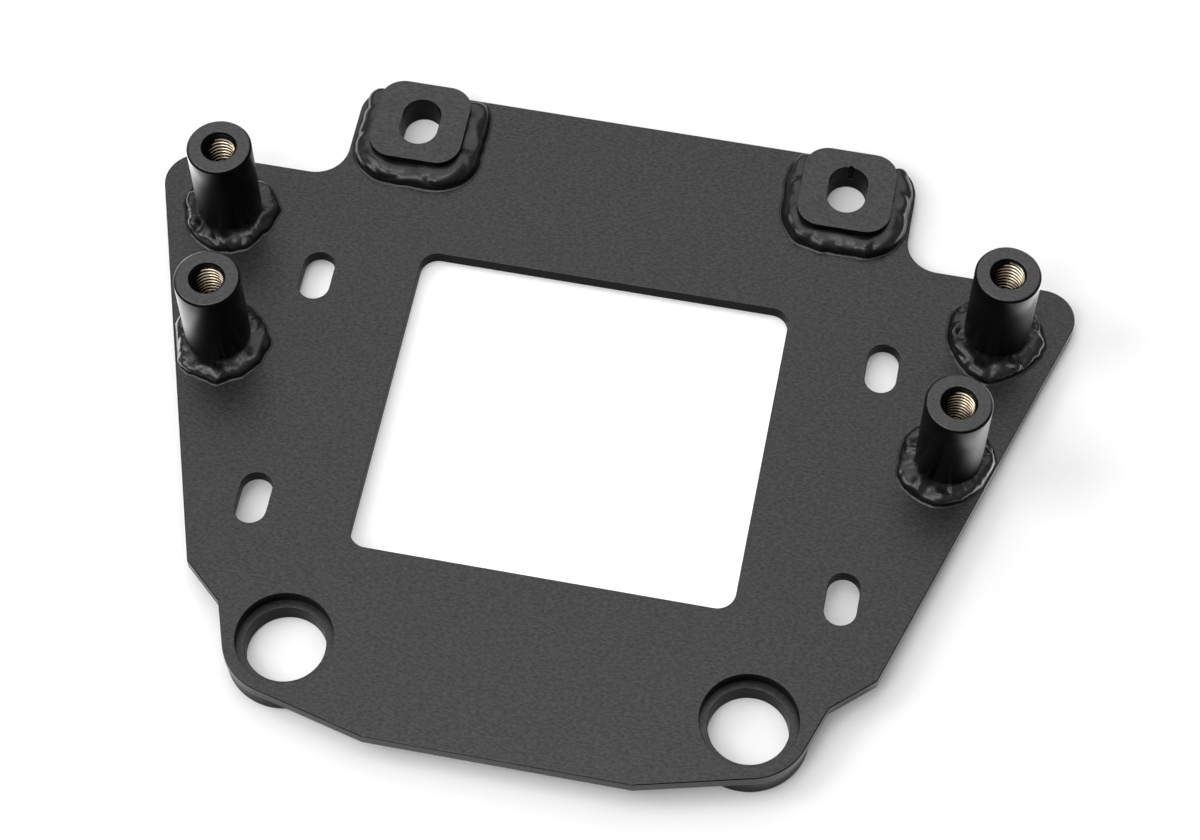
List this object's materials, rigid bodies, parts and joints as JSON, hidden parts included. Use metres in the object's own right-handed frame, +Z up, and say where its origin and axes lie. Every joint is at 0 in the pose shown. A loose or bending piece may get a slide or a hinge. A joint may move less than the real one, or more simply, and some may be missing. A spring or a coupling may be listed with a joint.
{
  "type": "winch mounting plate",
  "caption": "Flat steel winch mounting plate, coated black, with a rectangular window, bolt slots, tall threaded standoffs, slotted raised pads and large ringed holes at its narrow end.",
  "frame": {"origin": "the middle of the bounding box's base: on the mirror plane, halfway along the plate, at the rings' undersides", "axes": "+X across the plate to the right, +Y along it towards the pads, +Z up, the way the standoffs point"},
  "size_m": [0.4138, 0.32, 0.0649],
  "materials": {
    "plate_coat": "satin black powder coat",
    "standoff_coat": "satin black powder coat, brown and bare inside the thread",
    "pad_coat": "satin black powder coat",
    "ring_coat": "satin black powder coat",
    "weld_bead": "glossy black coat over a lumpy weld bead"
  },
  "bodies": {
    "root": {"plate": "plate_coat", "standoff_upper_left": "standoff_coat", "standoff_upper_right": "standoff_coat", "standoff_lower_left": "standoff_coat", "standoff_lower_right": "standoff_coat", "pad_left": "pad_coat", "pad_right": "pad_coat", "ring_left": "ring_coat", "ring_right": "ring_coat", "weld_upper_left": "weld_bead", "weld_upper_right": "weld_bead", "weld_lower_left": "weld_bead", "weld_lower_right": "weld_bead", "weld_pad_left": "weld_bead", "weld_pad_right": "weld_bead", "weld_ring_left": "weld_bead", "weld_ring_right": "weld_bead"}
  },
  "joints": []
}
